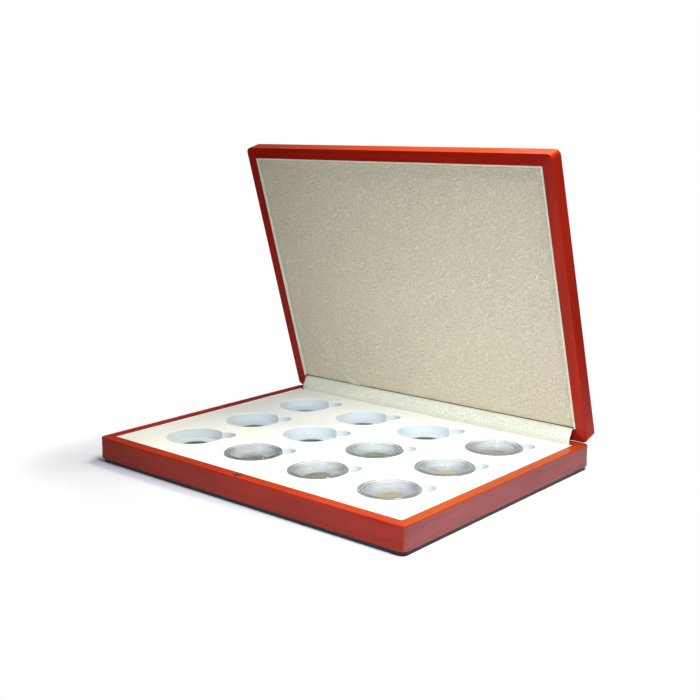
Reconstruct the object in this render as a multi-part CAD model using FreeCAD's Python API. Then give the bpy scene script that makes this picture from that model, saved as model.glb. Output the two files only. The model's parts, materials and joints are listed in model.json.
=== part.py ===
import FreeCAD, Part
import os
from math import cos, radians, sin, sqrt

from FreeCAD import Vector

# A flat wooden case that displays coins in round clear capsules. A mitred tray holds a flocked
# insert with twelve round wells, and a padded lid stands open on two small butt hinges.
#
# Millimetres and degrees. The origin is the centre of the underside, on which the case rests.
# +X runs along the front to the right, +Y runs to the hinges, and +Z is up. The lid's pieces are
# drawn closed, and turned open about the hinge line before they are written.

# Case
CASE_LENGTH = 305.0
CASE_DEPTH = 232.3
RAIL_WIDTH = 9.3
BASE_HEIGHT = 16.8
LID_HEIGHT = 12.5
RIM_GAP = 0.3
CORNER_RADIUS = 4.5
ARRIS_RADIUS = 0.6
INNER_ARRIS = 0.3
LID_OPEN_ANGLE = 73.6

# Panels and the felt board under the tray
PANEL_THICKNESS = 3.0
LID_PANEL_THICKNESS = 3.5
RABBET = 5.0
PANEL_PLAY = 0.1
FELT_BOARD_THICKNESS = 3.0
FELT_BOARD_INSET = 1.2

# Linings, cloth-covered card on the inner faces
LINING_THICKNESS = 1.4
LINING_BELOW_RIM = 0.2
INSERT_PLAY = 0.4

# Insert and its wells
INSERT_BELOW_RIM = 0.7
INSERT_THICKNESS = 8.3
INSERT_SKIN = 0.7
INSERT_EDGE_RADIUS = 0.4
WELL_LIP_RADIUS = 0.4
WELL_RADIUS = 22.7
WELL_PITCH_X = 66.0
WELL_PITCH_Y = 64.0
WELL_CUTOUT_RADIUS = 11.6
NOTCH_RADIUS = 9.2
NOTCH_OFFSET = 23.0
COLUMNS = 4
ROWS = "abc"

# Capsules, named after the row (a at the front) and the column of their well
CAPSULE_WELLS = ("a2", "a3", "a4", "b3", "b4", "c4")
COIN_WELLS = ("a3", "a4", "b3", "b4", "c4")
CAPSULE_RADIUS = 22.2
CAPSULE_HEIGHT = 7.5
CAPSULE_WALL = 0.9
CAPSULE_FLOOR = 0.8
CAPSULE_SPLIT = 5.2
CAPSULE_PLAY = 0.1
SEAT_RADIUS = 9.2
SEAT_LIP = 0.7
SKIRT_FOOT = 2.0
FLANGE_THICKNESS = 0.9
BOWL_RADIUS = 17.4
WINDOW_LEVEL = 2.3
WINDOW_THICKNESS = 0.7
COIN_RADIUS = 9.0
COIN_THICKNESS = 1.4
COIN_RIM_WIDTH = 0.7
COIN_RIM_HEIGHT = 0.15

# Hinges
HINGE_X = 95.0
HINGE_WIDTH = 30.0
HINGE_AXIS_INSET = 1.15
HINGE_AXIS_ABOVE_RIM = 2.6
LEAF_THICKNESS = 1.0
LEAF_REACH = 7.5
BARREL_RADIUS = 1.7
PIN_RADIUS = 0.8
PIN_PLAY = 0.05
PIN_HEAD_RADIUS = 1.2
PIN_HEAD_LENGTH = 0.5
END_KNUCKLE = 8.0
KNUCKLE_PLAY = 0.2
RISER_HALF = 0.8
BRIDGE_OVERLAP = 0.25
BARREL_ROOM = 0.4
MORTISE_PLAY = 0.1

# Hinge screws
SCREW_SPACING = 20.0
SCREW_FROM_AXIS = 5.0
SCREW_HEAD_RADIUS = 1.6
SCREW_RADIUS = 0.9
SCREW_LENGTH = 6.5
SCREW_PLAY = 0.05

# Magnets
MAGNET_RADIUS = 3.0
MAGNET_THICKNESS = 3.0
MAGNET_PLAY = 0.05

# Lid pad, ribbon and the strip that covers the hinges
PAD_BELOW_RIM = 2.2
PAD_THICKNESS = 2.5
PAD_PLAY = 0.8
PAD_HINGE_GAP = 1.3
PAD_CORNER_RADIUS = 1.5
RIBBON_WIDTH = 7.5
RIBBON_THICKNESS = 0.3
RIBBON_FROM_HINGE_SIDE = 54.2
RIBBON_FROM_LEFT_SIDE = 58.6
STRIP_THICKNESS = 0.8
STRIP_CLEARANCE = 0.1
STRIP_BULGE = 1.5
STRIP_BULGE_HEIGHT = 3.8
STRIP_INTO_LID = 3.0
STRIP_HALF_LENGTH = 140.6

# Levels and places worked out from the above
HALF_LENGTH = CASE_LENGTH / 2
HALF_DEPTH = CASE_DEPTH / 2
INNER_X = HALF_LENGTH - RAIL_WIDTH
INNER_Y = HALF_DEPTH - RAIL_WIDTH
BASE_BOTTOM = FELT_BOARD_THICKNESS
BASE_TOP = BASE_BOTTOM + BASE_HEIGHT
LID_RIM = BASE_TOP + RIM_GAP
LID_TOP = LID_RIM + LID_HEIGHT
LID_CEILING = LID_TOP - LID_PANEL_THICKNESS
AXIS_Y = HALF_DEPTH - HINGE_AXIS_INSET
AXIS_Z = BASE_TOP + HINGE_AXIS_ABOVE_RIM
INSERT_TOP = BASE_TOP - INSERT_BELOW_RIM
INSERT_BOTTOM = INSERT_TOP - INSERT_THICKNESS
WELL_FLOOR = INSERT_BOTTOM + INSERT_SKIN
PAD_FACE = LID_RIM + PAD_BELOW_RIM
PAD_BACK = PAD_FACE + PAD_THICKNESS
MAGNET_Y = RAIL_WIDTH / 2 - HALF_DEPTH
BEYOND = 5.0

Z_AXIS = Vector(0, 0, 1)
X_AXIS = Vector(1, 0, 0)


def block(x_low, x_high, y_low, y_high, z_low, z_high):
    """A rectangular block between two corners."""
    corner = Vector(x_low, y_low, z_low)
    return Part.makeBox(x_high - x_low, y_high - y_low, z_high - z_low, corner)


def disc(radius, x, y, z_low, z_high):
    """An upright cylinder."""
    return Part.makeCylinder(radius, z_high - z_low, Vector(x, y, z_low), Z_AXIS)


def rod(radius, x_low, x_high, y, z):
    """A cylinder along X."""
    return Part.makeCylinder(radius, x_high - x_low, Vector(x_low, y, z), X_AXIS)


def turned(profile, x, y, z):
    """The solid that a closed outline of (radius, height) points sweeps about an upright axis."""
    points = [Vector(x + radius, y, z + height) for radius, height in profile]
    face = Part.Face(Part.makePolygon(points + points[:1]))
    return face.revolve(Vector(x, y, z), Z_AXIS, 360)


def prism(outline, z_low, z_high):
    """An upright prism on an outline of (x, y) points."""
    points = [Vector(x, y, z_low) for x, y in outline]
    face = Part.Face(Part.makePolygon(points + points[:1]))
    return face.extrude(Vector(0, 0, z_high - z_low))


def fused(pieces):
    """One solid made of pieces that touch or overlap."""
    return pieces[0].multiFuse(pieces[1:]).removeSplitter()


def upright_edges(shape):
    """The straight edges that run along Z."""
    return [e for e in shape.Edges if e.BoundBox.XLength < 1e-6 and e.BoundBox.YLength < 1e-6]


def edges_at(shape, level):
    """The edges that lie flat at one level."""
    return [e for e in shape.Edges if abs(e.BoundBox.ZMin - level) < 1e-6
            and abs(e.BoundBox.ZMax - level) < 1e-6]


def opened(shape):
    """A piece of the closed lid, turned to where the lid stands open."""
    shape.rotate(Vector(0, AXIS_Y, AXIS_Z), X_AXIS, -LID_OPEN_ANGLE)
    return shape


# Wooden rails and panels

def rail_ring(z_low, z_high, rim_level):
    """The four rails as one ring, with rounded corners and eased edges."""
    outer = block(-HALF_LENGTH, HALF_LENGTH, -HALF_DEPTH, HALF_DEPTH, z_low, z_high)
    outer = outer.makeFillet(CORNER_RADIUS, upright_edges(outer))
    flat_edges = edges_at(outer, z_low) + edges_at(outer, z_high)
    outer = outer.makeFillet(ARRIS_RADIUS, flat_edges)
    opening = block(-INNER_X, INNER_X, -INNER_Y, INNER_Y, z_low - BEYOND, z_high + BEYOND)
    ring = outer.cut(opening)
    inner_edges = [e for e in edges_at(ring, rim_level)
                   if max(abs(v.X) for v in e.Vertexes) < INNER_X + ARRIS_RADIUS
                   and max(abs(v.Y) for v in e.Vertexes) < INNER_Y + ARRIS_RADIUS]
    return ring.makeChamfer(INNER_ARRIS, inner_edges)


def mitre_outlines():
    """Each side's share of the ring, cut off at 45 degrees at both ends."""
    far_x, far_y = HALF_LENGTH + BEYOND, HALF_DEPTH + BEYOND
    near_x, near_y = INNER_X - BEYOND, INNER_Y - BEYOND
    front = [(-far_x, -far_y), (far_x, -far_y), (near_x, -near_y), (-near_x, -near_y)]
    right = [(far_x, -far_y), (far_x, far_y), (near_x, near_y), (near_x, -near_y)]
    back = [(x, -y) for x, y in front]
    left = [(-x, y) for x, y in right]
    return {"front": front, "right": right, "back": back, "left": left}


def rails(ring, z_low, z_high):
    """The ring split into its four mitred rails, by side."""
    return {side: ring.common(prism(outline, z_low - BEYOND, z_high + BEYOND))
            for side, outline in mitre_outlines().items()}


def rabbet_block(z_low, z_high, play=0.0):
    """The space that a panel fills in its rabbet, less the play around it."""
    half_x = INNER_X + RABBET - play
    half_y = INNER_Y + RABBET - play
    return block(-half_x, half_x, -half_y, half_y, z_low, z_high)


def magnet_bore(z_low, z_high):
    """The blind hole for a magnet in the middle of a front rail."""
    return disc(MAGNET_RADIUS + MAGNET_PLAY, 0, MAGNET_Y, z_low, z_high)


def base_rails():
    """The tray's four rails, with the panel's rabbet, magnet bore and hinge mortises."""
    ring = rail_ring(BASE_BOTTOM, BASE_TOP, BASE_TOP)
    cuts = [rabbet_block(BASE_BOTTOM - BEYOND, BASE_BOTTOM + PANEL_THICKNESS)]
    cuts.append(magnet_bore(BASE_TOP - MAGNET_THICKNESS - MAGNET_PLAY, BASE_TOP + BEYOND))
    for centre in (-HINGE_X, HINGE_X):
        half = HINGE_WIDTH / 2 + MORTISE_PLAY
        cuts.append(block(centre - half, centre + half, AXIS_Y - LEAF_REACH - MORTISE_PLAY,
                          HALF_DEPTH + BEYOND, BASE_TOP - LEAF_THICKNESS, BASE_TOP + BEYOND))
        cuts += [screw(x, BASE_TOP, -1, SCREW_PLAY) for x in screw_places(centre)]
    return rails(ring.cut(Part.makeCompound(cuts)), BASE_BOTTOM, BASE_TOP)


def lid_rails():
    """The lid's four rails, with the panel's rabbet, magnet bore and hinge mortises."""
    ring = rail_ring(LID_RIM, LID_TOP, LID_RIM)
    cuts = [rabbet_block(LID_CEILING, LID_TOP + BEYOND)]
    cuts.append(magnet_bore(LID_RIM - BEYOND, LID_RIM + MAGNET_THICKNESS + MAGNET_PLAY))
    room = BARREL_RADIUS + BARREL_ROOM
    for centre in (-HINGE_X, HINGE_X):
        half = HINGE_WIDTH / 2 + MORTISE_PLAY
        barrel_half = half + PIN_HEAD_LENGTH
        leaf_front = AXIS_Y - LEAF_REACH - MORTISE_PLAY
        notch_front = AXIS_Y - room - LEAF_THICKNESS / 2
        cuts.append(block(centre - half, centre + half, leaf_front, AXIS_Y,
                          LID_RIM - BEYOND, LID_RIM + LEAF_THICKNESS))
        cuts.append(block(centre - barrel_half, centre + barrel_half, notch_front,
                          HALF_DEPTH + BEYOND, LID_RIM - BEYOND, AXIS_Z + room))
        cuts += [screw(x, LID_RIM, 1, SCREW_PLAY) for x in screw_places(centre)]
    return rails(ring.cut(Part.makeCompound([fused(cuts)])), LID_RIM, LID_TOP)


def magnet(z_low):
    """A small disc magnet in its bore."""
    return disc(MAGNET_RADIUS, 0, MAGNET_Y, z_low, z_low + MAGNET_THICKNESS)


def felt_board():
    """The felt-covered board on which the case rests."""
    half_x = HALF_LENGTH - FELT_BOARD_INSET
    half_y = HALF_DEPTH - FELT_BOARD_INSET
    board = block(-half_x, half_x, -half_y, half_y, 0, FELT_BOARD_THICKNESS)
    return board.makeFillet(CORNER_RADIUS, upright_edges(board))


def lining_strips(z_low, z_high):
    """Card strips on the inner faces of the front, left and right rails."""
    inside_x = INNER_X - LINING_THICKNESS
    inside_y = INNER_Y - LINING_THICKNESS
    return Part.makeCompound([
        block(-INNER_X, INNER_X, -INNER_Y, -inside_y, z_low, z_high),
        block(-INNER_X, -inside_x, -inside_y, INNER_Y - STRIP_THICKNESS * 2, z_low, z_high),
        block(inside_x, INNER_X, -inside_y, INNER_Y - STRIP_THICKNESS * 2, z_low, z_high)])


# Insert

def well_centres():
    """The wells' names and centres, by row from the front and by column from the left."""
    centres = {}
    for row, letter in enumerate(ROWS):
        for column in range(COLUMNS):
            x = (column - (COLUMNS - 1) / 2) * WELL_PITCH_X
            y = (row - (len(ROWS) - 1) / 2) * WELL_PITCH_Y
            centres[f"{letter}{column + 1}"] = (x, y)
    return centres


def coin_insert():
    """The flocked board: round wells with a finger notch each, and a cut-out in each floor."""
    half_x = INNER_X - LINING_THICKNESS - INSERT_PLAY
    front = LINING_THICKNESS + INSERT_PLAY - INNER_Y
    back = INNER_Y - STRIP_THICKNESS - INSERT_PLAY
    board = block(-half_x, half_x, front, back, INSERT_BOTTOM, INSERT_TOP)
    board = board.makeFillet(INSERT_EDGE_RADIUS, edges_at(board, INSERT_TOP))
    notch_shift = NOTCH_OFFSET / sqrt(2)
    for x, y in well_centres().values():
        well = disc(WELL_RADIUS, x, y, WELL_FLOOR, INSERT_TOP + BEYOND)
        notch = disc(NOTCH_RADIUS, x + notch_shift, y + notch_shift,
                     WELL_FLOOR, INSERT_TOP + BEYOND)
        cutout = disc(WELL_CUTOUT_RADIUS, x, y, INSERT_BOTTOM - BEYOND, INSERT_TOP)
        board = board.cut(fused([well, notch, cutout]))
    lips = [e for e in edges_at(board, INSERT_TOP) if e.Curve.TypeId == "Part::GeomCircle"]
    return board.makeFillet(WELL_LIP_RADIUS, lips)


def well_floor_board():
    """The dark board under the insert, which shows through the wells' cut-outs."""
    return block(-INNER_X, INNER_X, -INNER_Y, INNER_Y,
                 BASE_BOTTOM + PANEL_THICKNESS, INSERT_BOTTOM)


# Capsules and coins

def capsule_base(x, y):
    """The lower shell: a floor with a low ring around the coin's seat, and an outer wall."""
    wall = CAPSULE_RADIUS - CAPSULE_WALL
    seat_outer = SEAT_RADIUS + SEAT_LIP
    profile = [(0, 0), (CAPSULE_RADIUS, 0), (CAPSULE_RADIUS, CAPSULE_SPLIT),
               (wall, CAPSULE_SPLIT), (wall, CAPSULE_FLOOR), (seat_outer, CAPSULE_FLOOR),
               (seat_outer, CAPSULE_FLOOR + SEAT_LIP), (SEAT_RADIUS, CAPSULE_FLOOR + SEAT_LIP),
               (SEAT_RADIUS, CAPSULE_FLOOR), (0, CAPSULE_FLOOR)]
    return turned(profile, x, y, WELL_FLOOR)


def capsule_top(x, y):
    """The upper shell: a flange, a bowl down to the window, and a skirt that plugs the base."""
    skirt = CAPSULE_RADIUS - CAPSULE_WALL - CAPSULE_PLAY
    skirt_inner = skirt - CAPSULE_WALL
    bowl_outer = BOWL_RADIUS + CAPSULE_WALL
    under_flange = CAPSULE_HEIGHT - FLANGE_THICKNESS
    window_top = WINDOW_LEVEL + WINDOW_THICKNESS
    profile = [(0, WINDOW_LEVEL), (bowl_outer, WINDOW_LEVEL), (bowl_outer, under_flange),
               (skirt_inner, under_flange), (skirt_inner, SKIRT_FOOT), (skirt, SKIRT_FOOT),
               (skirt, CAPSULE_SPLIT + CAPSULE_PLAY),
               (CAPSULE_RADIUS, CAPSULE_SPLIT + CAPSULE_PLAY), (CAPSULE_RADIUS, CAPSULE_HEIGHT),
               (BOWL_RADIUS, CAPSULE_HEIGHT), (BOWL_RADIUS, window_top), (0, window_top)]
    return turned(profile, x, y, WELL_FLOOR)


def coin(x, y):
    """A small coin with a raised rim on both faces, lying in its seat."""
    field = COIN_RADIUS - COIN_RIM_WIDTH
    profile = [(0, COIN_RIM_HEIGHT), (field, COIN_RIM_HEIGHT), (field, 0), (COIN_RADIUS, 0),
               (COIN_RADIUS, COIN_THICKNESS), (field, COIN_THICKNESS),
               (field, COIN_THICKNESS - COIN_RIM_HEIGHT), (0, COIN_THICKNESS - COIN_RIM_HEIGHT)]
    return turned(profile, x, y, WELL_FLOOR + CAPSULE_FLOOR)


# Hinges

def screw_places(centre):
    """Where along X the two screws of a leaf stand."""
    return (centre - SCREW_SPACING / 2, centre + SCREW_SPACING / 2)


def screw(x, rim, way, play=0.0):
    """A countersunk screw at a rim, pointing up or down; with play, the hole that takes it."""
    y = AXIS_Y - SCREW_FROM_AXIS
    drive = Vector(0, 0, way)
    head_depth = SCREW_HEAD_RADIUS - SCREW_RADIUS
    head = Part.makeCone(SCREW_HEAD_RADIUS + play, SCREW_RADIUS + play, head_depth,
                         Vector(x, y, rim), drive)
    shank = Part.makeCylinder(SCREW_RADIUS + play, SCREW_LENGTH + play,
                              Vector(x, y, rim), drive)
    return fused([head, shank])


def knuckle_spans(centre):
    """The X spans of the tray's two end knuckles and of the lid's middle knuckle."""
    low, high = centre - HINGE_WIDTH / 2, centre + HINGE_WIDTH / 2
    ends = [(low, low + END_KNUCKLE), (high - END_KNUCKLE, high)]
    middle = (low + END_KNUCKLE + KNUCKLE_PLAY, high - END_KNUCKLE - KNUCKLE_PLAY)
    return ends, middle


def pin_bore(centre):
    """The bore through a hinge's knuckles."""
    reach = HINGE_WIDTH / 2 + BEYOND
    return rod(PIN_RADIUS + PIN_PLAY, centre - reach, centre + reach, AXIS_Y, AXIS_Z)


def base_leaf(centre):
    """The leaf in the tray's back rail, with a riser up to each end knuckle."""
    low, high = centre - HINGE_WIDTH / 2, centre + HINGE_WIDTH / 2
    leaf_bottom = BASE_TOP - LEAF_THICKNESS
    pieces = [block(low, high, AXIS_Y - LEAF_REACH, AXIS_Y + RISER_HALF, leaf_bottom, BASE_TOP)]
    ends, _ = knuckle_spans(centre)
    for start, stop in ends:
        pieces.append(block(start, stop, AXIS_Y - RISER_HALF, AXIS_Y + RISER_HALF,
                            leaf_bottom, AXIS_Z))
        pieces.append(rod(BARREL_RADIUS, start, stop, AXIS_Y, AXIS_Z))
    holes = [screw(x, BASE_TOP, -1, SCREW_PLAY) for x in screw_places(centre)]
    return fused(pieces).cut(Part.makeCompound(holes + [pin_bore(centre)]))


def lid_leaf(centre):
    """The leaf in the lid's back rail, with a bridge to the middle knuckle."""
    low, high = centre - HINGE_WIDTH / 2, centre + HINGE_WIDTH / 2
    _, (start, stop) = knuckle_spans(centre)
    leaf_back = AXIS_Y - BARREL_RADIUS - BARREL_ROOM
    pieces = [block(low, high, AXIS_Y - LEAF_REACH, leaf_back, LID_RIM, LID_RIM + LEAF_THICKNESS)]
    pieces.append(block(start, stop, leaf_back - BRIDGE_OVERLAP, AXIS_Y, LID_RIM, AXIS_Z))
    pieces.append(rod(BARREL_RADIUS, start, stop, AXIS_Y, AXIS_Z))
    holes = [screw(x, LID_RIM, 1, SCREW_PLAY) for x in screw_places(centre)]
    return fused(pieces).cut(Part.makeCompound(holes + [pin_bore(centre)]))


def hinge_pin(centre):
    """The pin, with a small head at each end of the barrel."""
    low, high = centre - HINGE_WIDTH / 2, centre + HINGE_WIDTH / 2
    return fused([
        rod(PIN_RADIUS, low, high, AXIS_Y, AXIS_Z),
        rod(PIN_HEAD_RADIUS, low - PIN_HEAD_LENGTH, low, AXIS_Y, AXIS_Z),
        rod(PIN_HEAD_RADIUS, high, high + PIN_HEAD_LENGTH, AXIS_Y, AXIS_Z)])


def screws(rim, way):
    """The four screws of the tray's leaves, or of the lid's."""
    return Part.makeCompound([screw(x, rim, way) for centre in (-HINGE_X, HINGE_X)
                              for x in screw_places(centre)])


# Soft parts

def pad_block(z_low, z_high):
    """The outline that the pad and the board behind it share."""
    half_x = INNER_X - LINING_THICKNESS - PAD_PLAY
    front = LINING_THICKNESS + PAD_PLAY - INNER_Y
    back = INNER_Y - PAD_HINGE_GAP
    return block(-half_x, half_x, front, back, z_low, z_high)


def lid_pad():
    """The leatherette pad, eased around its face."""
    pad = pad_block(PAD_FACE, PAD_BACK)
    return pad.makeFillet(PAD_CORNER_RADIUS, edges_at(pad, PAD_FACE))


def lid_ribbon():
    """A satin ribbon across the corner of the pad at the hinges, on the left."""
    pad = pad_block(PAD_FACE - RIBBON_THICKNESS, PAD_FACE).BoundBox
    upper = Vector(pad.XMin, pad.YMax - RIBBON_FROM_HINGE_SIDE, 0)
    lower = Vector(pad.XMin + RIBBON_FROM_LEFT_SIDE, pad.YMax, 0)
    along = (lower - upper).normalize()
    across = Vector(-along.y, along.x, 0) * (RIBBON_WIDTH / 2)
    start, stop = upper - along * BEYOND, lower + along * BEYOND
    outline = [start - across, stop - across, stop + across, start + across]
    band = prism([(p.x, p.y) for p in outline], pad.ZMin, pad.ZMax)
    inset = PAD_CORNER_RADIUS
    face = block(pad.XMin + inset, pad.XMax, pad.YMin, pad.YMax - inset, pad.ZMin, pad.ZMax)
    return band.common(face)


def lid_point(y, z):
    """Where a point (y, z) of the closed lid stands when the lid is open."""
    turn = radians(LID_OPEN_ANGLE)
    ahead, above = y - AXIS_Y, z - AXIS_Z
    return (AXIS_Y + ahead * cos(turn) + above * sin(turn),
            AXIS_Z - ahead * sin(turn) + above * cos(turn))


def hinge_cover_strip():
    """The cloth strip from behind the insert, over both back rims, to the edge of the pad."""
    behind_insert = INNER_Y - STRIP_THICKNESS / 2 - STRIP_CLEARANCE
    from_lid_rail = INNER_Y - STRIP_THICKNESS / 2 - 2 * STRIP_CLEARANCE
    over_rim = STRIP_THICKNESS + STRIP_CLEARANCE
    route = [(behind_insert, WELL_FLOOR + STRIP_THICKNESS),
             (behind_insert, INSERT_TOP + STRIP_THICKNESS),
             (behind_insert - STRIP_BULGE, INSERT_TOP + STRIP_BULGE_HEIGHT),
             (behind_insert + STRIP_BULGE, INSERT_TOP + 2 * STRIP_BULGE_HEIGHT),
             lid_point(from_lid_rail - over_rim, LID_RIM - over_rim),
             lid_point(from_lid_rail, LID_RIM),
             lid_point(from_lid_rail, PAD_FACE + STRIP_INTO_LID)]
    return band_along(route, STRIP_THICKNESS)


def band_along(route, thickness):
    """A sheet of even thickness drawn smoothly along (y, z) poles, over the case's width."""
    poles = [Vector(-STRIP_HALF_LENGTH, y, z) for y, z in route]
    front, back = [], []
    for before, pole, after in zip(poles[:1] + poles, poles, poles[1:] + poles[-1:]):
        along = (after - before).normalize()
        across = Vector(0, -along.z, along.y) * (thickness / 2)
        front.append(pole + across)
        back.append(pole - across)
    edges = []
    for side in (front, back):
        curve = Part.BSplineCurve()
        curve.buildFromPoles(side)
        edges.append(curve.toShape())
    edges.insert(1, Part.makeLine(front[-1], back[-1]))
    edges.append(Part.makeLine(front[0], back[0]))
    return Part.Face(Part.Wire(edges)).extrude(Vector(2 * STRIP_HALF_LENGTH, 0, 0))


# The whole case

def tray_nodes():
    """The pieces of the tray, without the capsules."""
    nodes = {f"base_{side}_rail": rail for side, rail in base_rails().items()}
    nodes["base_bottom_panel"] = rabbet_block(
        BASE_BOTTOM, BASE_BOTTOM + PANEL_THICKNESS, PANEL_PLAY)
    nodes["felt_board"] = felt_board()
    nodes["well_floor_board"] = well_floor_board()
    nodes["base_lining_strips"] = lining_strips(INSERT_BOTTOM, BASE_TOP - LINING_BELOW_RIM)
    nodes["coin_insert"] = coin_insert()
    nodes["base_magnet"] = magnet(BASE_TOP - MAGNET_THICKNESS - MAGNET_PLAY)
    nodes["base_hinge_screws"] = screws(BASE_TOP, -1)
    nodes["hinge_cover_strip"] = hinge_cover_strip()
    for side, centre in (("left", -HINGE_X), ("right", HINGE_X)):
        nodes[f"hinge_{side}_base_leaf"] = base_leaf(centre)
        nodes[f"hinge_{side}_pin"] = hinge_pin(centre)
    return nodes


def lid_nodes():
    """The pieces of the lid, turned open."""
    nodes = {f"lid_{side}_rail": rail for side, rail in lid_rails().items()}
    nodes["lid_top_panel"] = rabbet_block(LID_CEILING, LID_TOP, PANEL_PLAY)
    nodes["lid_lining_strips"] = lining_strips(LID_RIM + LINING_BELOW_RIM, LID_CEILING)
    nodes["lid_pad_board"] = pad_block(PAD_BACK, LID_CEILING)
    nodes["lid_pad"] = lid_pad()
    nodes["lid_ribbon"] = lid_ribbon()
    nodes["lid_magnet"] = magnet(LID_RIM + MAGNET_PLAY)
    nodes["lid_hinge_screws"] = screws(LID_RIM, 1)
    for side, centre in (("left", -HINGE_X), ("right", HINGE_X)):
        nodes[f"hinge_{side}_lid_leaf"] = lid_leaf(centre)
    return {name: opened(shape) for name, shape in nodes.items()}


def capsule_nodes():
    """The capsules in their wells, and the coins in them."""
    nodes = {}
    centres = well_centres()
    for name in CAPSULE_WELLS:
        nodes[f"capsule_{name}_base"] = capsule_base(*centres[name])
        nodes[f"capsule_{name}_top"] = capsule_top(*centres[name])
    for name in COIN_WELLS:
        nodes[f"coin_{name}"] = coin(*centres[name])
    return nodes


def main():
    """Write every node to its own STEP file."""
    os.makedirs("parts", exist_ok=True)
    nodes = {**tray_nodes(), **lid_nodes(), **capsule_nodes()}
    for name, shape in nodes.items():
        shape.exportStep(f"parts/{name}.step")
    print(len(nodes), "nodes, hinge line at y, z =", AXIS_Y, AXIS_Z)


main()
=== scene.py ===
import json
from math import cos, pi, radians, sin, sqrt, tau

import bmesh
import bpy
from mathutils import Matrix, Vector, noise


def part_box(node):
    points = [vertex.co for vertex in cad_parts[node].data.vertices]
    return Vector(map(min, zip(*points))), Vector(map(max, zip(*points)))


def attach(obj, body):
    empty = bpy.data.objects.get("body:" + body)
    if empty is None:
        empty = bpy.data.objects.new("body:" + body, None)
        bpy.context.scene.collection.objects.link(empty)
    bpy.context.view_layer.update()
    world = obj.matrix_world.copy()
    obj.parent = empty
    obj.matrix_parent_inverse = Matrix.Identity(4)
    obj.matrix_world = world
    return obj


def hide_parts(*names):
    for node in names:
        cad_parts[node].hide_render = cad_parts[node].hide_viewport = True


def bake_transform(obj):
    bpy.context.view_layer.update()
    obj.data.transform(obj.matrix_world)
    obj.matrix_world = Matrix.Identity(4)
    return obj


# The looks of a wooden coin case with a padded lid, around its CAD model. Metres and degrees,
# in the frame of the CAD model: +X along the front to the right, +Y to the hinges, +Z up.
# Pieces of the lid are made for the closed lid, then turned to where it stands open.

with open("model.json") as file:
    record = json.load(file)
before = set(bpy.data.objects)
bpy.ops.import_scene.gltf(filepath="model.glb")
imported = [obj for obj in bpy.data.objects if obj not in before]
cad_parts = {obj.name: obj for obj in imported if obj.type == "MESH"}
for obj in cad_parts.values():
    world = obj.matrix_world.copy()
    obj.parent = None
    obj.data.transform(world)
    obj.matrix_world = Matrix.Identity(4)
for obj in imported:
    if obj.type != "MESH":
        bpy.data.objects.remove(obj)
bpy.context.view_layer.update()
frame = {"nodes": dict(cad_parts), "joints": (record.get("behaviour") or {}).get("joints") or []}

# Camera and studio
CAMERA_PLACE = (0.5434, -0.6193, 0.2620)
CAMERA_TURN = (81.48, -0.12, 39.97)
CAMERA_LENS = 56.03
CAMERA_SHIFT = (-0.0235, -0.0859)
FLOOR_RADIUS = 0.9
FLOOR_COLOUR = (0.79, 0.81, 0.93, 1)
SHADOW_REACH = 0.065
FILL_COLOUR = (0.76, 0.87, 1.0, 1)
FILL_STRENGTH = 0.13

# Lamps: name, place, target, size, power, colour, spread
SOFTBOXES = (
    ("key", (0.33, -0.10, 0.62), (0.11, -0.01, 0.03), 0.22, 0.72, (0.99, 1.0, 0.96), 58),
    ("high", (0.18, 0.25, 0.75), (0.08, 0.05, 0.10), 0.25, 0.34, (0.99, 1.0, 0.96), 70),
    ("lid", (0.02, 0.16, 0.48), (-0.01, 0.06, 0.24), 0.16, 0.66, (1.0, 0.84, 0.55), 120),
    ("front", (0.36, -0.90, 0.28), (0.03, 0.10, 0.03), 0.4, 0.34, (0.97, 1.0, 1.0), 36),
)

# Painted bluish shade inside the wells: on their walls, and once more on their floors
WALL_SHADE = (0.81, 0.86, 0.94)
WELL_FLOOR_SHADE = (0.80, 0.83, 0.87)
WALL_SHADE_TOP = 0.0003
WALL_SHADE_REACH = 0.0009
WELL_FLOOR_SHADE_TOP = 0.0013
WELL_FLOOR_SHADE_REACH = 0.0004

# Cloths: name, colour, shadow between the fibres, pitch and depth of the grain
FLOCK = ("white_flock", (0.88, 0.89, 0.86), (0.80, 0.81, 0.77), 0.0004, 0.00008)
CLOTHS = {
    "base_lining_strips": ("white_lining", (0.90, 0.92, 0.90), (0.84, 0.86, 0.83), 0.0005, 0.00006),
    "lid_lining_strips": ("beige_lining", (0.86, 0.87, 0.76), (0.76, 0.77, 0.65), 0.0005, 0.00006),
    "felt_board": ("black_felt", (0.035, 0.034, 0.034), (0.012, 0.012, 0.013), 0.0008, 0.0002),
}

# Boards: name, dark and light tone of the fibres
BOARDS = {
    "well_floor_board": ("dark_board", (0.04, 0.045, 0.035), (0.11, 0.12, 0.095)),
    "lid_pad_board": ("pad_board", (0.25, 0.18, 0.09), (0.34, 0.25, 0.13)),
    "base_bottom_panel": ("plywood", (0.36, 0.25, 0.15), (0.50, 0.37, 0.24)),
}

# Metals: bright and dull tone, roughness, fineness of the patches
STEEL = ((0.20, 0.21, 0.22), (0.10, 0.105, 0.11), 0.4, 700)
BRASS = ((0.80, 0.60, 0.28), (0.55, 0.38, 0.16), 0.3, 300)
COIN_METALS = {
    "coin_grey": ((0.34, 0.36, 0.30), (0.14, 0.16, 0.12), 0.42, 420),
    "coin_bronze": ((0.52, 0.46, 0.34), (0.26, 0.22, 0.14), 0.42, 420),
    "coin_gold": ((0.80, 0.76, 0.58), (0.50, 0.46, 0.32), 0.42, 420),
}
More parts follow.
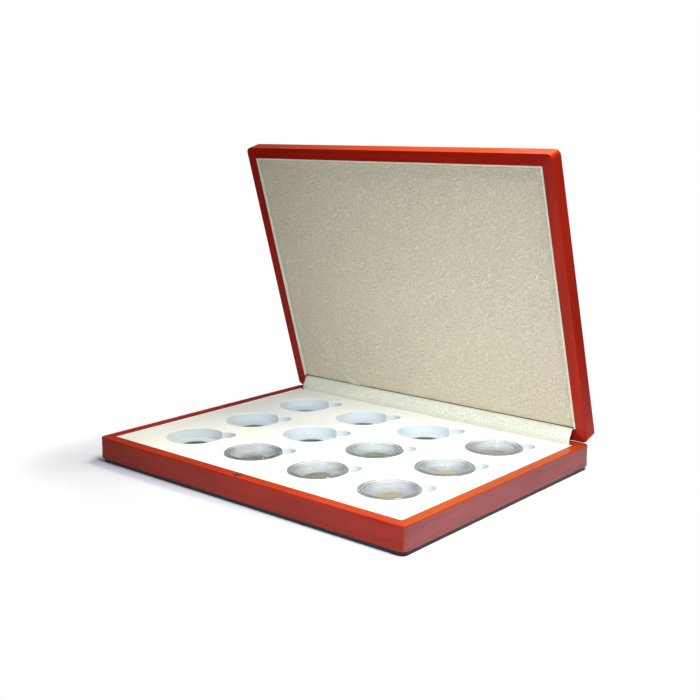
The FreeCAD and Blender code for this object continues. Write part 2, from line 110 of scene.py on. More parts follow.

# Tone of each rail: on its sides, and on its rim, which meets the other half of the case.
# Each is the red stain with light painted in: lighter and more orange on the base's rims and
# on the lid's front rail as painted highlight, darker on the left rails as painted shade, and
# pale pink on the base's right side as a painted reflection.
STAINS_AND_PAINTED_LIGHT = {
    "base_front": ((0.270, 0.0200, 0.0100), (0.400, 0.0300, 0.0030)),
    "base_back": ((0.270, 0.0200, 0.0060), (0.400, 0.0300, 0.0030)),
    "base_left": ((0.220, 0.0140, 0.0060), (0.380, 0.0140, 0.0050)),
    "base_right": ((0.270, 0.0600, 0.0550), (0.400, 0.0520, 0.0020)),
    "lid_front": ((0.350, 0.0400, 0.0080), (0.350, 0.0080, 0.0015)),
    "lid_back": ((0.280, 0.0180, 0.0050), (0.330, 0.0120, 0.0050)),
    "lid_left": ((0.220, 0.0140, 0.0060), (0.330, 0.0120, 0.0060)),
    "lid_right": ((0.330, 0.0120, 0.0030), (0.370, 0.0200, 0.0080)),
}
PANEL_STAIN = (0.300, 0.0200, 0.0050)
# Painted shade along the eased arris at the rim, painted highlight along the lower arris.
RIM_ARRIS_SHADE = (0.380, 0.0060, 0.0020)
LOWER_ARRIS_HIGHLIGHT = (0.420, 0.0400, 0.0100)
MAGNET_LACQUER = 1.15

# Pad and ribbon
PAD_EDGE_RADIUS = 0.0009
PAD_CROWN = 0.0003
PAD_STEP = 0.004
PAD_RIPPLE = 0.00006
RIBBON_FROM_HINGE_SIDE = 0.0542
RIBBON_FROM_LEFT_SIDE = 0.0586
RIBBON_WIDTH = 0.0075
RIBBON_THICKNESS = 0.00025
RIBBON_TUCK = 0.0012
RIBBON_CROWN = 0.00008
RIBBON_STEPS = 24

# Strip over the hinges
STRIP_THICKNESS = 0.0006
CAD_STRIP = 0.0008
STRIP_CLEARANCE = 0.0001
STRIP_INTO_LID = 0.003
STRIP_BULGE = 0.0015
STRIP_BULGE_HEIGHT = 0.0038
STRIP_STEP = 0.002
STRIP_WRINKLE = 0.00018
LONG_WRINKLES = 38
SHORT_WRINKLES = 120
# Painted shade on the strip in the gap under the pad's edge, and how far it spreads.
GAP_SHADE_SPREAD = 0.0005
GAP_SHADE = (0.20, 0.14, 0.05)

# Capsules
CAPSULE_WALL = 0.0009
CAPSULE_FLOOR = 0.0008
CAPSULE_PLAY = 0.0001
SEAT_RADIUS = 0.0092
SEAT_LIP = 0.0007
SKIRT_FOOT = 0.0020
FLANGE_THICKNESS = 0.0009
BOWL_RADIUS = 0.0174
WINDOW_LEVEL = 0.0023
WINDOW_THICKNESS = 0.0007
GROOVE_RADIUS = 0.0198
GROOVE_HALF = 0.00035
GROOVE_DEPTH = 0.0003
CAPSULE_EDGE = 0.00025
LATHE_STEPS = 96
CAPSULE_WELLS = ("a2", "a3", "a4", "b3", "b4", "c4")

# Coins: well, metal and petals of the rosette
COINS = (("a3", "coin_grey", 5), ("b3", "coin_grey", 6), ("a4", "coin_bronze", 8),
         ("b4", "coin_gold", 7), ("c4", "coin_bronze", 6))
COIN_RINGS = 44
COIN_SECTORS = 144
COIN_RELIEF = 0.00022

lid_joint = next(joint for joint in frame["joints"] if joint["name"] == "lid_hinge")
hinge_line = Vector(lid_joint["pos_m"])
open_angle = radians(-lid_joint["range_deg"][0])
OPENED = (Matrix.Translation(hinge_line) @ Matrix.Rotation(open_angle, 4, Vector(lid_joint["axis"]))
          @ Matrix.Translation(-hinge_line))
CLOSED = OPENED.inverted()


def closed_box(node):
    """A lid node's lowest and highest corners with the lid closed."""
    points = [CLOSED @ vertex.co for vertex in frame["nodes"][node].data.vertices]
    low = Vector(min(p[axis] for p in points) for axis in range(3))
    high = Vector(max(p[axis] for p in points) for axis in range(3))
    return low, high


# Shader helpers

def new_material(name):
    """A material with its node tree and its Principled shader."""
    material = bpy.data.materials.new(name)
    material.use_nodes = True
    tree = material.node_tree
    return material, tree, tree.nodes["Principled BSDF"]


def add(tree, kind, inputs=(), **settings):
    """A shader node, with its settings and its inputs' values or links."""
    made = tree.nodes.new(kind)
    for name, value in settings.items():
        setattr(made, name, value)
    for name, value in dict(inputs).items():
        if isinstance(value, bpy.types.NodeSocket):
            tree.links.new(value, made.inputs[name])
        else:
            made.inputs[name].default_value = value
    return made


def place(tree, turn=(0, 0, 0), stretch=(1, 1, 1)):
    """Coordinates on the piece, in metres, turned and then stretched."""
    where = add(tree, "ShaderNodeTexCoord").outputs["Object"]
    turned = add(tree, "ShaderNodeMapping", {"Vector": where, "Rotation": turn}).outputs[0]
    return add(tree, "ShaderNodeMapping", {"Vector": turned, "Scale": stretch}).outputs[0]


def noise_at(tree, vector, scale, detail=2.0, roughness=0.5, distortion=0.0):
    """Noise from 0 to 1."""
    return add(tree, "ShaderNodeTexNoise", {
        "Vector": vector, "Scale": scale, "Detail": detail,
        "Roughness": roughness, "Distortion": distortion}).outputs["Fac"]


def ramp(tree, factor, stops):
    """A colour ramp through (position, colour) stops."""
    made = add(tree, "ShaderNodeValToRGB", {"Fac": factor})
    elements = made.color_ramp.elements
    while len(elements) < len(stops):
        elements.new(0.5)
    for element, (position, colour) in zip(elements, stops):
        element.position = position
        element.color = (*colour, 1.0)
    return made.outputs["Color"]


def grey_ramp(tree, factor, low, high, at_low=0.0, at_high=1.0):
    """A value that goes from one level to another as the factor crosses a range."""
    return add(tree, "ShaderNodeMapRange", {
        "Value": factor, "From Min": low, "From Max": high,
        "To Min": at_low, "To Max": at_high}).outputs["Result"]


def blend_colours(tree, factor, first, second, mode="MIX"):
    """Two colours mixed."""
    made = add(tree, "ShaderNodeMix", data_type="RGBA", blend_type=mode)
    for socket, value in ((0, factor), (6, first), (7, second)):
        if isinstance(value, bpy.types.NodeSocket):
            tree.links.new(value, made.inputs[socket])
        elif socket == 0:
            made.inputs[socket].default_value = value
        else:
            made.inputs[socket].default_value = (*value, 1.0)
    return made.outputs[2]


def bump(tree, height, distance, strength=1.0, under=None):
    """A normal that follows a height, on top of another normal."""
    inputs = {"Height": height, "Distance": distance, "Strength": strength}
    if under is not None:
        inputs["Normal"] = under
    return add(tree, "ShaderNodeBump", inputs).outputs["Normal"]


def finish(shader, **values):
    """Set the shader's own sockets."""
    for name, value in values.items():
        shader.inputs[name.replace("_", " ").title().replace("Ior", "IOR")].default_value = value


# Materials

def wood(name, turn, side, rim, rim_way=1):
    """Red mahogany stain under semi-gloss lacquer. After the turn, the grain runs along X.

    side is the tone of upright faces and rim that of faces that look up, or down for a rim_way
    of -1; both are the stain with painted light. The eased arrises get a painted shade along
    the rim and a painted highlight along the lower edge, and the face away from the rim is
    stained as the lid's panel is.
    """
    material, tree, shader = new_material(name)
    link = tree.links.new
    facing = add(tree, "ShaderNodeTexCoord").outputs["Normal"]
    facing = add(tree, "ShaderNodeMapping", {"Vector": facing, "Rotation": turn}).outputs[0]
    upward = add(tree, "ShaderNodeSeparateXYZ", {0: facing}).outputs["Z"]
    # Colour by the way each face looks: the stain with painted highlight and painted shade.
    stain_and_light = ramp(tree, grey_ramp(tree, upward, -rim_way, rim_way), [
        (0.03, PANEL_STAIN), (0.10, LOWER_ARRIS_HIGHLIGHT), (0.35, LOWER_ARRIS_HIGHLIGHT), (0.42, side), (0.60, side),
        (0.68, RIM_ARRIS_SHADE), (0.90, RIM_ARRIS_SHADE), (0.97, rim)])
    sway = noise_at(tree, place(tree, turn), 14.0, 1.0)
    streaks = noise_at(tree, place(tree, turn, (12, 300, 300)), 1.0, 4.0, 0.55, 0.4)
    pores = noise_at(tree, place(tree, turn, (90, 2300, 2300)), 1.0, 1.0)
    for shade in (grey_ramp(tree, streaks, 0.25, 0.75, 0.82, 1.18),
                  grey_ramp(tree, sway, 0.3, 0.7, 0.90, 1.08),
                  grey_ramp(tree, pores, 0.64, 0.76, 1.0, 0.7)):
        stain_and_light = blend_colours(tree, 1.0, stain_and_light, shade, "MULTIPLY")
    link(stain_and_light, shader.inputs["Base Color"])
    link(grey_ramp(tree, streaks, 0.3, 0.7, 0.34, 0.26), shader.inputs["Roughness"])
    grain = bump(tree, pores, 0.00003, 0.4)
    peel = noise_at(tree, place(tree, turn), 500.0, 1.0)
    link(bump(tree, peel, 0.00002, 0.3, grain), shader.inputs["Normal"])
    finish(shader, specular_ior_level=0.1, coat_weight=0.05, coat_roughness=0.1)
    return material


def cloth(name, colour, shadow, grain, depth, sheen=0.3, under=()):
    """Short-pile or cloth-covered stock with a fine even grain of the given pitch.

    under lists (top, depth, shade): below a top the colour is darkened by that painted shade, in full at
    the depth.
    """
    material, tree, shader = new_material(name)
    link = tree.links.new
    where = place(tree)
    fibres = noise_at(tree, where, 1 / grain, 3.0, 0.65)
    patches = noise_at(tree, where, 45.0, 2.0)
    tone = blend_colours(tree, grey_ramp(tree, fibres, 0.35, 0.62), shadow, colour)
    tone = blend_colours(tree, 1.0, tone, grey_ramp(tree, patches, 0.3, 0.7, 0.97, 1.0), "MULTIPLY")
    height = add(tree, "ShaderNodeSeparateXYZ", {0: where}).outputs["Z"]
    for top, reach, painted_shade in under:
        # Painted shade: below each top the colour darkens towards a bluish tone.
        shaded_tone = blend_colours(tree, 1.0, tone, painted_shade, "MULTIPLY")
        tone = blend_colours(tree, grey_ramp(tree, height, top, top - reach), tone, shaded_tone)
    link(tone, shader.inputs["Base Color"])
    link(bump(tree, fibres, depth, 0.6), shader.inputs["Normal"])
    finish(shader, roughness=0.92, sheen_weight=sheen, sheen_roughness=0.5, specular_ior_level=0.15)
    return material


def leatherette():
    """Beige leatherette with an uneven pebble about 1.5 mm across."""
    material, tree, shader = new_material("leatherette")
    link = tree.links.new
    where = place(tree, (open_angle, 0, radians(35)), (1.0, 1.6, 1.0))
    pebble = noise_at(tree, where, 520.0, 2.0, 0.5, 0.4)
    crease = noise_at(tree, where, 1150.0, 1.0)
    patches = noise_at(tree, where, 9.0, 2.0)
    tone = ramp(tree, pebble, [(0.30, (0.76, 0.68, 0.50)), (0.50, (0.855, 0.78, 0.60)),
                               (0.72, (0.92, 0.85, 0.68))])
    tone = blend_colours(tree, 1.0, tone, grey_ramp(tree, patches, 0.3, 0.7, 0.97, 1.01), "MULTIPLY")
    link(tone, shader.inputs["Base Color"])
    link(grey_ramp(tree, pebble, 0.3, 0.7, 0.62, 0.46), shader.inputs["Roughness"])
    grain = bump(tree, grey_ramp(tree, pebble, 0.35, 0.65), 0.0009, 1.0)
    link(bump(tree, crease, 0.0002, 1.0, grain), shader.inputs["Normal"])
    finish(shader, specular_ior_level=0.4)
    return material


def strip_cloth():
    """Greyish woven cloth with a dotted surface, with painted shade where it goes in past the pad."""
    material, tree, shader = new_material("strip_cloth")
    link = tree.links.new
    where = place(tree)
    dots = noise_at(tree, where, 900.0, 2.0, 0.6)
    threads = noise_at(tree, where, 2600.0, 1.0)
    patches = noise_at(tree, where, 60.0, 2.0)
    tone = ramp(tree, dots, [(0.36, (0.60, 0.61, 0.50)), (0.52, (0.76, 0.77, 0.67)),
                             (0.68, (0.83, 0.84, 0.76))])
    tone = blend_colours(tree, 1.0, tone, grey_ramp(tree, patches, 0.3, 0.7, 0.94, 1.02), "MULTIPLY")
    inward = OPENED.to_3x3() @ Vector((0, 0, 1))
    pad_edge = inward.dot(OPENED @ closed_box("lid_pad")[0])
    along = add(tree, "ShaderNodeVectorMath", {0: where, 1: inward}, operation="DOT_PRODUCT")
    # Painted shade where the strip goes in past the pad, in the gap under its edge.
    gap_shade = grey_ramp(tree, along.outputs["Value"], pad_edge - GAP_SHADE_SPREAD, pad_edge)
    tone = blend_colours(tree, gap_shade, tone, GAP_SHADE)
    link(tone, shader.inputs["Base Color"])
    weave = bump(tree, grey_ramp(tree, dots, 0.35, 0.65), 0.00025, 0.9)
    link(bump(tree, threads, 0.00006, 0.6, weave), shader.inputs["Normal"])
    finish(shader, roughness=0.9, sheen_weight=0.2, sheen_roughness=0.5, specular_ior_level=0.15)
    return material


def satin():
    """Pale green-grey satin, with fine threads along the ribbon."""
    material, tree, shader = new_material("ribbon_satin")
    link = tree.links.new
    where = place(tree, (open_angle, 0, radians(43)), (200, 5200, 5200))
    threads = noise_at(tree, where, 1.0, 1.0)
    tone = ramp(tree, threads, [(0.3, (0.56, 0.585, 0.44)), (0.7, (0.67, 0.69, 0.54))])
    link(tone, shader.inputs["Base Color"])
    link(bump(tree, threads, 0.00004, 0.5), shader.inputs["Normal"])
    finish(shader, roughness=0.42, sheen_weight=0.3, anisotropic=0.5)
    return material


def clear_plastic():
    """Clear acrylic. Light from lamps passes through it, so that what it covers is lit."""
    material, tree, shader = new_material("capsule_clear")
    link = tree.links.new
    haze = noise_at(tree, place(tree), 900.0, 2.0)
    link(grey_ramp(tree, haze, 0.3, 0.7, 0.02, 0.07), shader.inputs["Roughness"])
    finish(shader, base_color=(0.86, 0.85, 0.845, 1), transmission_weight=1.0, ior=1.49, alpha=0.85)
    through = add(tree, "ShaderNodeBsdfTransparent", {"Color": (0.93, 0.94, 0.94, 1)})
    ray = add(tree, "ShaderNodeLightPath")
    output = tree.nodes["Material Output"]
    mixed = add(tree, "ShaderNodeMixShader", {0: ray.outputs["Is Shadow Ray"],
                                              1: shader.outputs[0], 2: through.outputs[0]})
    link(mixed.outputs[0], output.inputs["Surface"])
    return material


def metal(name, bright, dull, roughness, speckle):
    """Toned metal: bright where it is rubbed, dull in patches."""
    material, tree, shader = new_material(name)
    link = tree.links.new
    where = place(tree)
    patches = noise_at(tree, where, speckle, 4.0, 0.65)
    link(ramp(tree, patches, [(0.38, dull), (0.62, bright)]), shader.inputs["Base Color"])
    link(grey_ramp(tree, patches, 0.3, 0.7, roughness + 0.12, roughness - 0.05), shader.inputs["Roughness"])
    link(bump(tree, noise_at(tree, where, speckle * 4, 2.0), 0.00003, 0.4), shader.inputs["Normal"])
    finish(shader, metallic=1.0)
    return material


def board(name, dark, light):
    """Fibreboard or plywood."""
    material, tree, shader = new_material(name)
    fibres = noise_at(tree, place(tree, stretch=(40, 900, 900)), 1.0, 4.0)
    tree.links.new(ramp(tree, fibres, [(0.3, dark), (0.7, light)]), shader.inputs["Base Color"])
    tree.links.new(bump(tree, fibres, 0.00008, 0.5), shader.inputs["Normal"])
    finish(shader, roughness=0.85)
    return material


def dress_rails():
    """Give each rail its own wood, with the grain along the rail."""
    turns = {"front": 0.0, "back": 0.0, "left": pi / 2, "right": pi / 2}
    for rail, (side, rim) in STAINS_AND_PAINTED_LIGHT.items():
        half, edge = rail.split("_")
        turn = (0.0 if half == "base" else open_angle, 0, turns[edge])
        way = 1 if half == "base" else -1
        give(frame["nodes"][f"{rail}_rail"], wood(f"mahogany_{rail}", turn, side, rim, way))
    lid_turn = (open_angle, 0, 0)
    give(frame["nodes"]["lid_top_panel"], wood("mahogany_lid_panel", lid_turn, PANEL_STAIN, PANEL_STAIN))
    magnet_tone = tuple(channel * MAGNET_LACQUER for channel in STAINS_AND_PAINTED_LIGHT["lid_front"][1])
    give(frame["nodes"]["lid_magnet"], wood("lacquered_magnet", lid_turn, magnet_tone, magnet_tone, -1))


def give(obj, material):
    """Make one material the object's only one."""
    obj.data.materials.clear()
    obj.data.materials.append(material)


# Mesh helpers

def new_object(name, mesh_data, material):
    """An object from bmesh data, smooth shaded, with the given material."""
    mesh = bpy.data.meshes.new(name)
    bmesh.ops.recalc_face_normals(mesh_data, faces=mesh_data.faces)
    mesh_data.to_mesh(mesh)
    mesh_data.free()
    mesh.shade_smooth()
    mesh.materials.append(material)
    made = bpy.data.objects.new(name, mesh)
    bpy.context.scene.collection.objects.link(made)
    return made


def skin(mesh_data, rows, closed=False):
    """Quads between rows of points; closed joins each row's end to its start."""
    grid = [[mesh_data.verts.new(point) for point in row] for row in rows]
    for near, far in zip(grid, grid[1:]):
        last = len(near) if closed else len(near) - 1
        for index in range(last):
            after = (index + 1) % len(near)
            mesh_data.faces.new((near[index], near[after], far[after], far[index]))
    return grid


def steps_between(start, stop, step):
    """Even places from start to stop, about a step apart."""
    count = max(1, round(abs(stop - start) / step))
    return [start + (stop - start) * index / count for index in range(count + 1)]


# Lid pad and ribbon

def edge_places(half, radius):
    """Places across the pad, close together around its eased edges, as (place, lean) pairs."""
    arc = [radians(angle) for angle in (90, 72, 54, 36, 18)]
    flat = steps_between(-(half - radius), half - radius, PAD_STEP)
    low = [(-(half - radius) - radius * sin(a), sin(a)) for a in arc]
    return low + [(at, 0.0) for at in flat] + [(-at, lean) for at, lean in reversed(low)]


def lid_pad():
    """The padded panel: leatherette over thin foam, slightly crowned, drawn round its edges."""
    low, high = closed_box("lid_pad")
    centre = (low + high) / 2
    half = (high - low) / 2
    mesh_data = bmesh.new()
    rows = []
    for y, lean_y in edge_places(half.y, PAD_EDGE_RADIUS):
        row = []
        for x, lean_x in edge_places(half.x, PAD_EDGE_RADIUS):
            lean = sqrt(lean_x ** 2 + lean_y ** 2)
            pull = max(lean, 1.0)
            inner_x = x - lean_x * PAD_EDGE_RADIUS * (1 if x > 0 else -1) * (1 - 1 / pull)
            inner_y = y - lean_y * PAD_EDGE_RADIUS * (1 if y > 0 else -1) * (1 - 1 / pull)
            drop = PAD_EDGE_RADIUS * (1 - sqrt(max(0.0, 1 - min(lean, 1.0) ** 2)))
            crown = PAD_CROWN * (1 - (x / half.x) ** 4) * (1 - (y / half.y) ** 4)
            ripple = PAD_RIPPLE * noise.noise(Vector((x, y, 0)) * 45)
            row.append(Vector((centre.x + inner_x, centre.y + inner_y, low.z + drop - crown + ripple)))
        rows.append(row)
    grid = skin(mesh_data, rows)
    rim = ([v for v in grid[0]] + [row[-1] for row in grid[1:]]
           + [v for v in reversed(grid[-1][:-1])] + [row[0] for row in reversed(grid[1:-1])])
    back = [mesh_data.verts.new((v.co.x, v.co.y, high.z)) for v in rim]
    for index, vertex in enumerate(rim):
        after = (index + 1) % len(rim)
        mesh_data.faces.new((vertex, rim[after], back[after], back[index]))
    mesh_data.faces.new(back)
    mesh_data.transform(OPENED)
    pad = new_object("lid_pad_cover", mesh_data, leatherette())
    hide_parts("lid_pad")
    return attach(pad, "lid")


def lid_ribbon():
    """The satin ribbon across the pad's corner, tucked in over two edges of the pad."""
    low, high = closed_box("lid_pad")
    start = Vector((low.x, high.y - RIBBON_FROM_HINGE_SIDE, 0))
    stop = Vector((low.x + RIBBON_FROM_LEFT_SIDE, high.y, 0))
    along = (stop - start).normalized()
    half_y = RIBBON_WIDTH / 2 / abs(along.x)
    half_x = RIBBON_WIDTH / 2 / abs(along.y)
    mesh_data = bmesh.new()
    rows = []
    tuck = [0, 0, 0.004, 0.015, 0.03]
    middle = [0.03 + 0.94 * n / RIBBON_STEPS for n in range(1, RIBBON_STEPS)]
    shares = tuck + middle + [1 - share for share in reversed(tuck)]
    for index, share in enumerate(shares):
        from_end = min(index, len(shares) - 1 - index)
        sink = RIBBON_TUCK if from_end == 0 else PAD_EDGE_RADIUS * 0.6 if from_end == 1 else 0.0
        row = []
        for across in (-1, -0.6, -0.2, 0.2, 0.6, 1):
            begin = start + Vector((0, across * half_y, 0))
            end = stop + Vector((across * half_x, 0, 0))
            point = begin.lerp(end, share)
            swell = PAD_CROWN * min(1, 4 * min(share, 1 - share)) + RIBBON_CROWN * (1 - across ** 2)
            row.append(Vector((point.x, point.y, low.z - RIBBON_THICKNESS - swell + sink)))
        rows.append(row)
    skin(mesh_data, rows)
    mesh_data.transform(OPENED)
    ribbon = new_object("lid_ribbon_satin", mesh_data, satin())
    thicken(ribbon, RIBBON_THICKNESS)
    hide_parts("lid_ribbon")
    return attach(ribbon, "lid")


def thicken(obj, thickness):
    """Give a sheet its thickness, half to each side."""
    solid = obj.modifiers.new("thickness", "SOLIDIFY")
    solid.thickness = thickness
    solid.offset = 0.0
    return obj


# Strip over the hinges

def smooth_line(poles):
    """Points along a smooth line drawn by poles."""
    curve = bpy.data.curves.new("guide", "CURVE")
    curve.dimensions = "3D"
    spline = curve.splines.new("NURBS")
    spline.points.add(len(poles) - 1)
    for point, pole in zip(spline.points, poles):
        point.co = (*pole, 1.0)
    spline.order_u = 4
    spline.use_endpoint_u = True
    spline.resolution_u = 6
    guide = bpy.data.objects.new("guide", curve)
    mesh = bpy.data.meshes.new_from_object(guide)
    points = [vertex.co.copy() for vertex in mesh.vertices]
    bpy.data.objects.remove(guide)
    bpy.data.curves.remove(curve)
    bpy.data.meshes.remove(mesh)
    return points


def strip_line():
    """The line that the strip follows, front to back, drawn from where the rims and pad are."""
    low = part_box("hinge_cover_strip")[0]
    insert_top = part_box("coin_insert")[1].z
    rim = closed_box("lid_back_rail")[0].z
    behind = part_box("well_floor_board")[1].y - CAD_STRIP / 2 - STRIP_CLEARANCE
    from_rail = behind - STRIP_CLEARANCE
    over = CAD_STRIP + STRIP_CLEARANCE
    end = closed_box("lid_pad")[0].z + STRIP_INTO_LID
    poles = [Vector((0, behind, low.z)),
             Vector((0, behind, insert_top + CAD_STRIP)),
             Vector((0, behind - STRIP_BULGE, insert_top + STRIP_BULGE_HEIGHT)),
             Vector((0, behind + STRIP_BULGE, insert_top + 2 * STRIP_BULGE_HEIGHT))]
    for y, z in ((from_rail - over, rim - over), (from_rail, rim), (from_rail, end)):
        poles.append(OPENED @ Vector((0, y, z)))
    return smooth_line(poles)


def hinge_strip():
    """The cloth strip over the hinges, from behind the insert to the edge of the pad."""
    low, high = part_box("hinge_cover_strip")
    line = strip_line()
    mesh_data = bmesh.new()
    rows = []
    for index, point in enumerate(line):
        before, after = line[max(index - 1, 0)], line[min(index + 1, len(line) - 1)]
        along = (after - before).normalized()
        outward = Vector((0, -along.z, along.y))
        share = index / (len(line) - 1)
        row = []
        for x in steps_between(low.x, high.x, STRIP_STEP):
            wave = (noise.noise(Vector((x * LONG_WRINKLES, share * 1.6, 0)))
                    + 0.5 * noise.noise(Vector((x * SHORT_WRINKLES, share * 3, 7))))
            row.append(point + Vector((x, 0, 0)) + outward * (STRIP_WRINKLE * wave * sin(pi * share)))
        rows.append(row)
    skin(mesh_data, rows)
    strip = new_object("hinge_strip_cloth", mesh_data, strip_cloth())
    thicken(strip, STRIP_THICKNESS)
    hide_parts("hinge_cover_strip")
    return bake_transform(strip)


# Capsules and coins

def eased(corners, radius):
    """A closed outline of (radius, height) corners, with each corner off the axis rounded."""
    outline = []
    count = len(corners)
    for index, corner in enumerate(corners):
        here = Vector(corner)
        if corner[0] == 0:
            outline.append(here)
            continue
        before = Vector(corners[index - 1]) - here
        after = Vector(corners[(index + 1) % count]) - here
        reach = min(radius, before.length * 0.45, after.length * 0.45)
        start = here + before.normalized() * reach
        stop = here + after.normalized() * reach
        for share in (0, 0.25, 0.5, 0.75, 1):
            first = start.lerp(here, share)
            second = here.lerp(stop, share)
            outline.append(first.lerp(second, share))
    return outline


def turn_outline(name, outline, centre, material):
    """A solid turned about an upright axis."""
    mesh_data = bmesh.new()
    vertices = [mesh_data.verts.new((p.x, 0, p.y)) for p in outline]
    on_axis = [p.x == 0 for p in outline]
    edges = [mesh_data.edges.new((a, b)) for a, b, axis_a, axis_b in
             zip(vertices, vertices[1:] + vertices[:1], on_axis, on_axis[1:] + on_axis[:1])
             if not (axis_a and axis_b)]
    bmesh.ops.spin(mesh_data, geom=vertices + edges, cent=(0, 0, 0), axis=(0, 0, 1),
                   angle=tau, steps=LATHE_STEPS, use_merge=True)
    bmesh.ops.remove_doubles(mesh_data, verts=mesh_data.verts, dist=1e-7)
    mesh_data.transform(Matrix.Translation(centre))
    return new_object(name, mesh_data, material)


def capsule_outlines(outer, split, height):
    """The outlines of the base and of the top, with its bowl, window and shallow ring."""
    wall = outer - CAPSULE_WALL
    seat_outer = SEAT_RADIUS + SEAT_LIP
    seat_top = CAPSULE_FLOOR + SEAT_LIP
    base = [(0, 0), (outer, 0), (outer, split), (wall, split), (wall, CAPSULE_FLOOR),
            (seat_outer, CAPSULE_FLOOR), (seat_outer, seat_top), (SEAT_RADIUS, seat_top),
            (SEAT_RADIUS, CAPSULE_FLOOR), (0, CAPSULE_FLOOR)]
    skirt = wall - CAPSULE_PLAY
    skirt_inner = skirt - CAPSULE_WALL
    under_flange = height - FLANGE_THICKNESS
    bowl_outer = BOWL_RADIUS + CAPSULE_WALL
    above_split = split + CAPSULE_PLAY
    window_top = WINDOW_LEVEL + WINDOW_THICKNESS
    ring_floor = height - GROOVE_DEPTH
    top = [(0, WINDOW_LEVEL), (bowl_outer, WINDOW_LEVEL), (bowl_outer, under_flange),
           (skirt_inner, under_flange), (skirt_inner, SKIRT_FOOT), (skirt, SKIRT_FOOT),
           (skirt, above_split), (outer, above_split), (outer, height),
           (GROOVE_RADIUS + GROOVE_HALF, height), (GROOVE_RADIUS, ring_floor),
           (GROOVE_RADIUS - GROOVE_HALF, height), (BOWL_RADIUS, height),
           (BOWL_RADIUS, window_top), (0, window_top)]
    return {"base": base, "top": top}


def capsule(well, material):
    """Both shells of one well's capsule."""
    low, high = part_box(f"capsule_{well}_base")
    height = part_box(f"capsule_{well}_top")[1].z - low.z
    centre = Vector(((low.x + high.x) / 2, (low.y + high.y) / 2, low.z))
    outlines = capsule_outlines((high.x - low.x) / 2, high.z - low.z, height)
    bodies = {"base": f"capsule_{well}", "top": f"capsule_{well}_lid"}
    for part, corners in outlines.items():
        shell = turn_outline(f"capsule_{well}_{part}_shell", eased(corners, CAPSULE_EDGE), centre,
                             material)
        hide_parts(f"capsule_{well}_{part}")
        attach(shell, bodies[part])


def relief(reach, angle, petals):
    """How high a coin's design stands at a share of its radius: rim, beads, wreath and rosette."""
    rim = 1.0 if reach > 0.93 else 0.0
    beads = max(0.0, 1 - ((reach - 0.885) / 0.03) ** 2) * max(0.0, cos(angle * 48))
    leaf_line = 0.68 + 0.06 * sin(angle * 12)
    wreath = max(0.0, 1 - ((reach - leaf_line) / 0.11) ** 2) * (0.55 + 0.45 * cos(angle * 24))
    petal = 0.44 * abs(cos(angle * petals / 2)) + 0.06
    rosette = max(0.0, 1 - (reach / petal) ** 2) ** 0.5 * 0.9 if reach < petal else 0.0
    return max(rim, 0.6 * beads, 0.8 * wreath, rosette)


def coin(well, material, petals):
    """One struck coin, with a raised rim and a generic design on both faces."""
    low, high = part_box(f"coin_{well}")
    centre = (low + high) / 2
    radius = (high.x - low.x) / 2
    half = (high.z - low.z) / 2
    mesh_data = bmesh.new()
    rows = []
    for way in (1, -1):
        reaches = [ring / COIN_RINGS for ring in range(1, COIN_RINGS + 1)]
        for reach in (reaches if way == 1 else reversed(reaches)):
            row = []
            for sector in range(COIN_SECTORS):
                angle = tau * sector / COIN_SECTORS
                level = half - COIN_RELIEF * (1 - relief(reach, angle, petals))
                row.append((radius * reach * cos(angle), radius * reach * sin(angle), way * level))
            rows.append(row)
    grid = skin(mesh_data, rows, closed=True)
    mesh_data.faces.new(grid[0])
    mesh_data.faces.new(grid[-1])
    mesh_data.transform(Matrix.Translation(centre) @ Matrix.Rotation(radians(23 * petals), 4, "Z"))
    piece = new_object(f"coin_{well}_struck", mesh_data, material)
    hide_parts(f"coin_{well}")
    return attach(piece, f"capsule_{well}")


# Studio

def camera():
    """The camera, at the viewing angle of the object's picture."""
    data = bpy.data.cameras.new("camera")
    data.sensor_width = 36.0
    data.lens = CAMERA_LENS
    data.shift_x, data.shift_y = CAMERA_SHIFT
    data.clip_start, data.clip_end = 0.01, 100.0
    made = bpy.data.objects.new("camera", data)
    made.location = CAMERA_PLACE
    made.rotation_euler = [radians(angle) for angle in CAMERA_TURN]
    bpy.context.scene.collection.objects.link(made)
    bpy.context.scene.camera = made


def floor():
    """A plain pale floor. The eye sees it turn as white as the surroundings away from the case."""
    mesh_data = bmesh.new()
    bmesh.ops.create_circle(mesh_data, cap_ends=True, segments=64, radius=FLOOR_RADIUS)
    mesh = bpy.data.meshes.new("floor")
    mesh_data.to_mesh(mesh)
    mesh_data.free()
    material, tree, shader = new_material("floor_white")
    finish(shader, base_color=FLOOR_COLOUR, roughness=0.9, specular_ior_level=0.0)
    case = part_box("base_left_rail")[0]
    size = (abs(case.x), abs(case.y), 1.0)
    folded = add(tree, "ShaderNodeVectorMath", {0: place(tree)}, operation="ABSOLUTE").outputs[0]
    past = add(tree, "ShaderNodeVectorMath", {0: folded, 1: size}, operation="SUBTRACT").outputs[0]
    past = add(tree, "ShaderNodeVectorMath", {0: past, 1: (0, 0, 0)}, operation="MAXIMUM").outputs[0]
    distance = add(tree, "ShaderNodeVectorMath", {0: past}, operation="LENGTH").outputs["Value"]
    fade = grey_ramp(tree, distance, 0.0, SHADOW_REACH)
    ray = add(tree, "ShaderNodeLightPath").outputs["Is Camera Ray"]
    fade = add(tree, "ShaderNodeMath", {0: fade, 1: ray}, operation="MULTIPLY").outputs[0]
    clear = add(tree, "ShaderNodeBsdfTransparent")
    mixed = add(tree, "ShaderNodeMixShader", {0: fade, 1: shader.outputs[0], 2: clear.outputs[0]})
    tree.links.new(mixed.outputs[0], tree.nodes["Material Output"].inputs["Surface"])
    mesh.materials.append(material)
    made = bpy.data.objects.new("floor", mesh)
    bpy.context.scene.collection.objects.link(made)


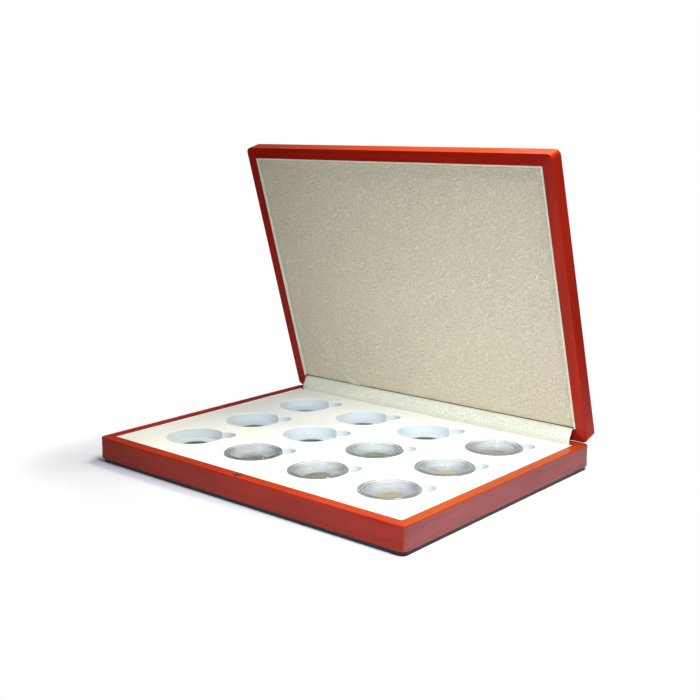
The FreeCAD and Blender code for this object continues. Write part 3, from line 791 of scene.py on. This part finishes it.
def softbox(name, stand, target, size, power, colour, spread):
    """A square area lamp aimed at a point."""
    data = bpy.data.lights.new(name, "AREA")
    data.shape = "SQUARE"
    data.size = size
    data.energy = power
    data.color = colour
    data.spread = radians(spread)
    made = bpy.data.objects.new(name, data)
    made.location = stand
    aim = Vector(target) - Vector(stand)
    made.rotation_euler = aim.to_track_quat("-Z", "Y").to_euler()
    bpy.context.scene.collection.objects.link(made)


def studio():
    """White surroundings for the eye, dim bluish ones for light, and softboxes above the case."""
    world = bpy.data.worlds.new("surroundings")
    bpy.context.scene.world = world
    world.use_nodes = True
    tree = world.node_tree
    seen = add(tree, "ShaderNodeBackground", {"Color": (1, 1, 1, 1), "Strength": 1.0})
    fill = add(tree, "ShaderNodeBackground", {"Color": FILL_COLOUR, "Strength": FILL_STRENGTH})
    ray = add(tree, "ShaderNodeLightPath").outputs["Is Camera Ray"]
    mixed = add(tree, "ShaderNodeMixShader", {0: ray, 1: fill.outputs[0], 2: seen.outputs[0]})
    tree.links.new(mixed.outputs[0], tree.nodes["World Output"].inputs["Surface"])
    for lamp in SOFTBOXES:
        softbox(*lamp)
    bpy.context.scene.view_settings.view_transform = "Standard"


def dress_insert():
    """Flock on the insert, with painted bluish shade inside the wells."""
    low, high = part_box("coin_insert")
    # Painted bluish shade on the wells' walls and floors.
    well_shades = [(high.z - WALL_SHADE_TOP, WALL_SHADE_REACH, WALL_SHADE),
             (low.z + WELL_FLOOR_SHADE_TOP, WELL_FLOOR_SHADE_REACH, WELL_FLOOR_SHADE)]
    give(frame["nodes"]["coin_insert"], cloth(*FLOCK, under=well_shades))


def dress_rest():
    """Materials of the linings, boards, magnet, hinges and screws."""
    nodes = frame["nodes"]
    for name, look in CLOTHS.items():
        give(nodes[name], cloth(*look))
    for name, look in BOARDS.items():
        give(nodes[name], board(*look))
    give(nodes["base_magnet"], metal("magnet_steel", *STEEL))
    brass = metal("brass", *BRASS)
    for name, node in nodes.items():
        if name.startswith("hinge_") and name != "hinge_cover_strip" or name.endswith("hinge_screws"):
            give(node, brass)


def main():
    camera()
    studio()
    floor()
    dress_rails()
    dress_insert()
    dress_rest()
    lid_pad()
    lid_ribbon()
    hinge_strip()
    plastic = clear_plastic()
    for well in CAPSULE_WELLS:
        capsule(well, plastic)
    metals = {name: metal(name, *look) for name, look in COIN_METALS.items()}
    for well, name, petals in COINS:
        coin(well, metals[name], petals)


main()
